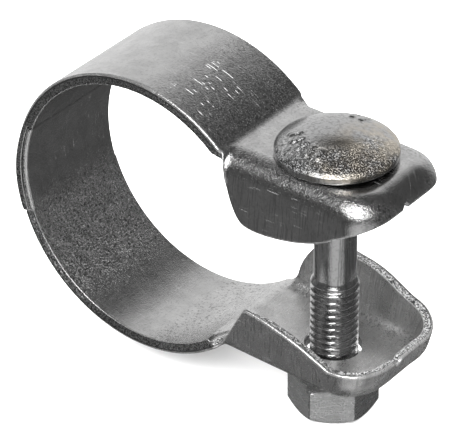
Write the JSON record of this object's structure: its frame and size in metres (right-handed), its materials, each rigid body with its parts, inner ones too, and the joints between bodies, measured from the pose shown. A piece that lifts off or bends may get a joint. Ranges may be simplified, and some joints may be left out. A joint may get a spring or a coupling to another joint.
{
  "type": "hinged pipe clamp",
  "caption": "Pressed-steel pipe repair clamp: half shells hooked together at the back, flanged ears, coach bolt and hex nut.",
  "frame": {"origin": "on the pipe axis, at the middle of the ring's width", "axes": "+Y along the pipe, +X from the pipe axis towards the bolt, +Z along the bolt towards its head"},
  "size_m": [0.0715, 0.0246, 0.0542],
  "materials": {
    "shell_steel": "bright zinc-plated pressed sheet, fine grain, dull sheared edges",
    "bolt_steel": "bright zinc plate, smooth domed head, rolled thread",
    "nut_steel": "zinc plate, satin flats"
  },
  "bodies": {
    "lower_shell": {"lower_shell": "shell_steel"},
    "upper_shell": {"upper_shell": "shell_steel"},
    "coach_bolt": {"coach_bolt": "bolt_steel"},
    "hex_nut": {"hex_nut": "nut_steel"}
  },
  "joints": [
    {"name": "nut_spin", "type": "hinge", "parent": "lower_shell", "child": "hex_nut", "pos_m": [0.0314, 0, -0.026], "axis": [0, 0, 1], "range_deg": [0, 900]},
    {"name": "bolt_feed", "type": "slide", "parent": "lower_shell", "child": "coach_bolt", "axis": [0, 0, -1], "range_m": [0, 0.0032]},
    {"name": "jaw_close", "type": "hinge", "parent": "lower_shell", "child": "upper_shell", "pos_m": [-0.0235, 0, 0.00855], "axis": [0, 1, 0], "range_deg": [0, 4.1]}
  ],
  "couplings": [
    {"joint": "bolt_feed", "follows": "nut_spin", "m_per_rad": 0.00019894},
    {"joint": "jaw_close", "follows": "nut_spin", "ratio": 0.00447}
  ]
}
